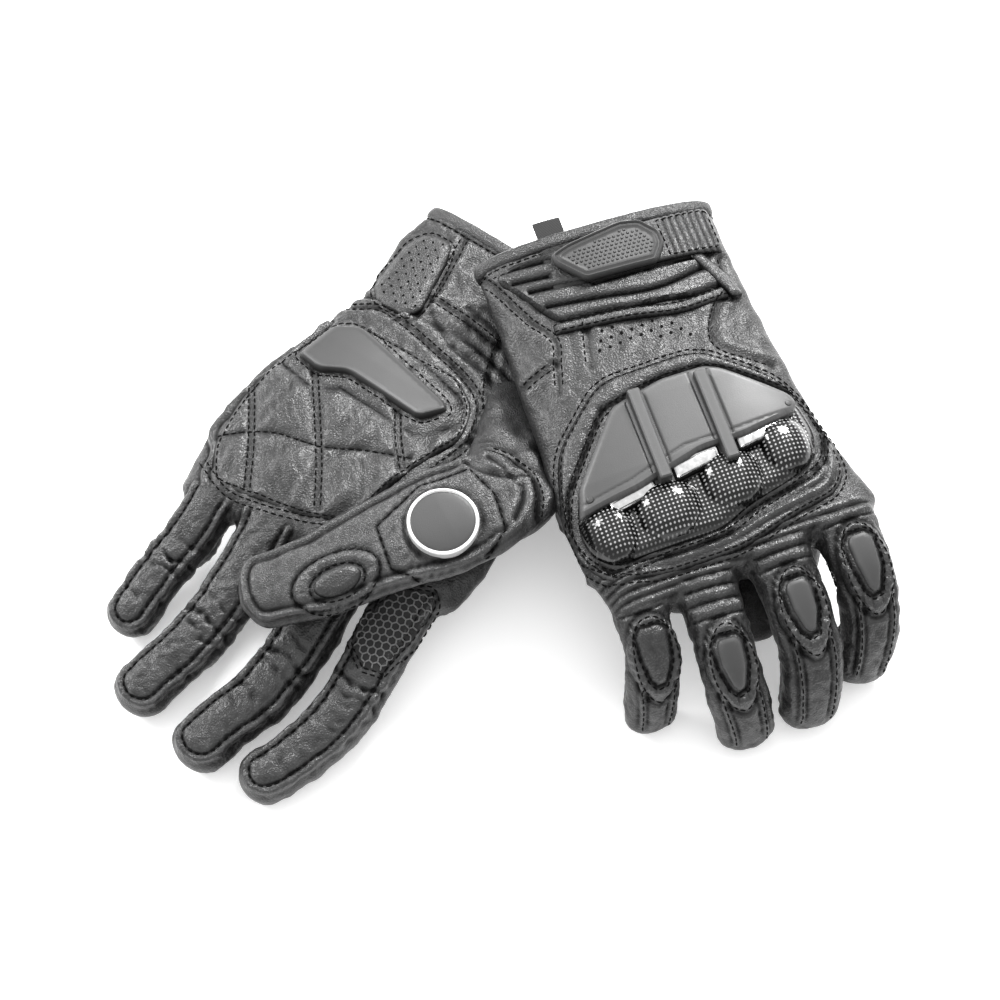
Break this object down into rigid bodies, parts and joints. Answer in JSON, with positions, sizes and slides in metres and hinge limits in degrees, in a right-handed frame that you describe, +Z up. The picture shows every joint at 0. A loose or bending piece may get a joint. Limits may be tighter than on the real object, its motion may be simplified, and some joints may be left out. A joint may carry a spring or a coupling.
{
  "type": "riding gloves",
  "caption": "Leather riding gloves with hard knuckle guards, palm sliders and wrist straps; one lies palm up with its thumb folded, the other palm down on curled fingers.",
  "frame": {"origin": "on the surface that the gloves lie on, below the centre of the pair", "axes": "+Z up; X across the pair, from the palm-up left glove to the palm-down right glove; Y from the fingertips to the cuffs"},
  "size_m": [0.2959, 0.2502, 0.0675],
  "materials": {
    "leather": "soft grained black leather with stitched seams",
    "moulded_plastic": "matte charcoal moulded rubbery plastic",
    "carbon": "glossy woven carbon look",
    "bright_vent": "bright polished",
    "hook_and_loop": "black hook and loop",
    "label_fabric": "black woven tape"
  },
  "bodies": {
    "left_hand": {"left_palm_shell": "leather", "left_back_shell": "leather", "left_cuff_binding": "leather", "left_size_label": "label_fabric", "left_palm_quilt": "leather", "left_palm_slider": "moulded_plastic", "left_heel_pad": "leather", "left_wrist_ribs": "leather", "left_loop_patch": "hook_and_loop", "left_knuckle_surround": "leather", "left_knuckle_cap": "carbon", "left_knuckle_guard": "moulded_plastic", "left_knuckle_vents": "bright_vent"},
    "left_strap": {"left_strap_hook": "hook_and_loop", "left_strap_band": "leather", "left_strap_tab": "moulded_plastic"},
    "left_thumb": {"left_thumb_shell": "leather", "left_thumb_badge": "moulded_plastic", "left_thumb_insert": "leather"},
    "left_little_base": {"left_little_base": "leather"},
    "left_little_end": {"left_little_tip": "leather"},
    "left_ring_base": {"left_ring_base": "leather", "left_ring_insert": "moulded_plastic"},
    "left_ring_end": {"left_ring_tip": "leather"},
    "left_middle_base": {"left_middle_base": "leather", "left_middle_insert": "moulded_plastic"},
    "left_middle_end": {"left_middle_tip": "leather"},
    "left_index_base": {"left_index_base": "leather", "left_index_insert": "moulded_plastic"},
    "left_index_end": {"left_index_tip": "leather"},
    "right_hand": {"right_palm_shell": "leather", "right_back_shell": "leather", "right_cuff_binding": "leather", "right_size_label": "label_fabric", "right_palm_quilt": "leather", "right_palm_slider": "moulded_plastic", "right_heel_pad": "leather", "right_wrist_ribs": "leather", "right_loop_patch": "hook_and_loop", "right_knuckle_surround": "leather", "right_knuckle_cap": "carbon", "right_knuckle_guard": "moulded_plastic", "right_knuckle_vents": "bright_vent"},
    "right_strap": {"right_strap_hook": "hook_and_loop", "right_strap_band": "leather", "right_strap_tab": "moulded_plastic"},
    "right_thumb": {"right_thumb_shell": "leather", "right_thumb_badge": "moulded_plastic", "right_thumb_insert": "leather"},
    "right_little_base": {"right_little_base": "leather"},
    "right_little_end": {"right_little_tip": "leather"},
    "right_ring_base": {"right_ring_base": "leather", "right_ring_insert": "moulded_plastic"},
    "right_ring_end": {"right_ring_tip": "leather"},
    "right_middle_base": {"right_middle_base": "leather", "right_middle_insert": "moulded_plastic"},
    "right_middle_end": {"right_middle_tip": "leather"},
    "right_index_base": {"right_index_base": "leather", "right_index_insert": "moulded_plastic"},
    "right_index_end": {"right_index_tip": "leather"}
  },
  "joints": [
    {"name": "left_strap_open", "type": "hinge", "parent": "left_hand", "child": "left_strap", "pos_m": [0.0381, 0.05881, 0.01249], "axis": [-0.5878, -0.809, 0], "range_deg": [0, 90]},
    {"name": "left_thumb_spread", "type": "hinge", "parent": "left_hand", "child": "left_thumb", "pos_m": [-0.0009, -0.0204, 0.04413], "axis": [0, 0, -1], "range_deg": [-45, 0]},
    {"name": "left_little_knuckle", "type": "hinge", "parent": "left_hand", "child": "left_little_base", "pos_m": [-0.11051, -0.01291, 0.02185], "axis": [-0.8636, 0.5036, -0.0223], "range_deg": [-15, 45]},
    {"name": "left_little_middle", "type": "hinge", "parent": "left_little_base", "child": "left_little_end", "pos_m": [-0.12415, -0.03074, 0.01594], "axis": [-0.7563, 0.6538, 0.0234], "range_deg": [-10, 50]},
    {"name": "left_ring_knuckle", "type": "hinge", "parent": "left_hand", "child": "left_ring_base", "pos_m": [-0.08877, -0.02501, 0.02203], "axis": [-0.885, 0.4649, -0.0263], "range_deg": [-15, 6]},
    {"name": "left_ring_middle", "type": "hinge", "parent": "left_ring_base", "child": "left_ring_end", "pos_m": [-0.10914, -0.05736, 0.0148], "axis": [-0.779, 0.6269, 0.0094], "range_deg": [-10, 50]},
    {"name": "left_middle_knuckle", "type": "hinge", "parent": "left_hand", "child": "left_middle_base", "pos_m": [-0.06053, -0.03934, 0.02226], "axis": [-0.9128, 0.4075, -0.0262], "range_deg": [-15, 6]},
    {"name": "left_middle_middle", "type": "hinge", "parent": "left_middle_base", "child": "left_middle_end", "pos_m": [-0.07872, -0.07318, 0.01612], "axis": [-0.8156, 0.5787, -0.0023], "range_deg": [-10, 50]},
    {"name": "left_index_knuckle", "type": "hinge", "parent": "left_hand", "child": "left_index_base", "pos_m": [-0.03514, -0.05166, 0.02228], "axis": [-0.8889, 0.4577, -0.0185], "range_deg": [-15, 35]},
    {"name": "left_index_middle", "type": "hinge", "parent": "left_index_base", "child": "left_index_end", "pos_m": [-0.05215, -0.08349, 0.01675], "axis": [-0.8628, 0.5052, -0.021], "range_deg": [-10, 50]},
    {"name": "right_glove_lift", "type": "slide", "parent": "left_hand", "child": "right_hand", "axis": [0, 0, 1], "range_m": [0, 0.12]},
    {"name": "right_strap_open", "type": "hinge", "parent": "right_hand", "child": "right_strap", "pos_m": [0.08434, 0.09569, 0.04602], "axis": [-0.309, 0.9511, 0], "range_deg": [0, 110]},
    {"name": "right_thumb_spread", "type": "hinge", "parent": "right_hand", "child": "right_thumb", "pos_m": [0.09989, 0.01873, 0.0145], "axis": [0, 0, -1], "range_deg": [-30, 0]},
    {"name": "right_little_knuckle", "type": "hinge", "parent": "right_hand", "child": "right_little_base", "pos_m": [0.05286, -0.06711, 0.03918], "axis": [0.9302, 0.3663, 0.0255], "range_deg": [-35, 10]},
    {"name": "right_little_middle", "type": "hinge", "parent": "right_little_base", "child": "right_little_end", "pos_m": [0.05637, -0.08126, 0.0277], "axis": [0.9673, 0.2144, -0.1353], "range_deg": [-40, 10]},
    {"name": "right_ring_knuckle", "type": "hinge", "parent": "right_hand", "child": "right_ring_base", "pos_m": [0.07656, -0.05553, 0.04114], "axis": [0.96, 0.2798, -0.0054], "range_deg": [-35, 10]},
    {"name": "right_ring_middle", "type": "hinge", "parent": "right_ring_base", "child": "right_ring_end", "pos_m": [0.08468, -0.082, 0.03053], "axis": [0.9443, 0.3286, 0.0155], "range_deg": [-40, 10]},
    {"name": "right_middle_knuckle", "type": "hinge", "parent": "right_hand", "child": "right_middle_base", "pos_m": [0.10324, -0.04268, 0.0413], "axis": [0.9345, 0.3558, 0.0069], "range_deg": [-35, 10]},
    {"name": "right_middle_middle", "type": "hinge", "parent": "right_middle_base", "child": "right_middle_end", "pos_m": [0.11254, -0.06802, 0.03365], "axis": [0.9491, 0.3148, 0.0036], "range_deg": [-40, 10]},
    {"name": "right_index_knuckle", "type": "hinge", "parent": "right_hand", "child": "right_index_base", "pos_m": [0.12836, -0.02929, 0.04053], "axis": [0.9308, 0.3654, 0.0047], "range_deg": [-35, 10]},
    {"name": "right_index_middle", "type": "hinge", "parent": "right_index_base", "child": "right_index_end", "pos_m": [0.13602, -0.05093, 0.03415], "axis": [0.9608, 0.276, -0.0268], "range_deg": [-40, 10]}
  ]
}
